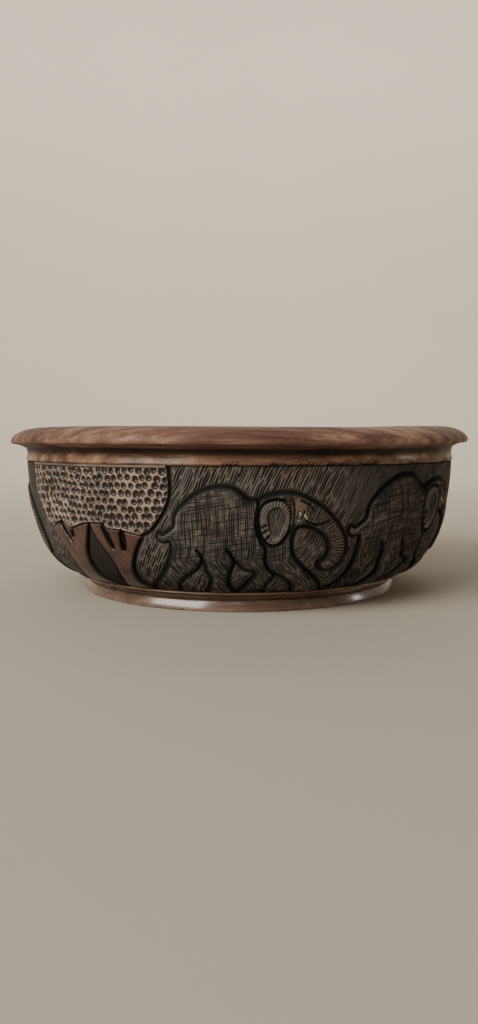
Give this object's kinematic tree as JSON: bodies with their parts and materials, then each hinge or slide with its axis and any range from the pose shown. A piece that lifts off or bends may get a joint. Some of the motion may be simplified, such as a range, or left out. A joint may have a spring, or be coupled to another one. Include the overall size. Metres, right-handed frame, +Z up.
{
  "type": "carved wooden bowl",
  "caption": "Round turned wooden bowl with a rolled rim, a foot ring and a frieze of elephants and trees carved in low relief round the wall.",
  "frame": {"origin": "on the turning axis, at the plane that the foot rests on", "axes": "+Z up along the turning axis; -Y towards the first carved elephant, which walks towards +X"},
  "size_m": [0.3, 0.3, 0.1045],
  "materials": {
    "red_brown_wood": "polished",
    "brown_wood": "satin polish",
    "dark_stained_wood": "dark stain, hatched with a gouge",
    "inside_wood": "satin polish"
  },
  "bodies": {
    "root": {"foot_ring": "brown_wood", "bowl_floor": "inside_wood", "bowl_wall": "dark_stained_wood", "neck_cove": "brown_wood", "rim_lip": "red_brown_wood", "elephant_1": "dark_stained_wood", "elephant_2": "dark_stained_wood", "elephant_3": "dark_stained_wood", "elephant_4": "dark_stained_wood", "elephant_5": "dark_stained_wood", "elephant_6": "dark_stained_wood", "elephant_ear_1": "dark_stained_wood", "elephant_ear_2": "dark_stained_wood", "elephant_ear_3": "dark_stained_wood", "elephant_ear_4": "dark_stained_wood", "elephant_ear_5": "dark_stained_wood", "elephant_ear_6": "dark_stained_wood", "tree_canopy_1": "brown_wood", "tree_canopy_2": "brown_wood", "tree_trunk_1a": "red_brown_wood", "tree_trunk_1b": "red_brown_wood", "tree_trunk_2a": "red_brown_wood", "tree_trunk_2b": "red_brown_wood"}
  },
  "joints": []
}
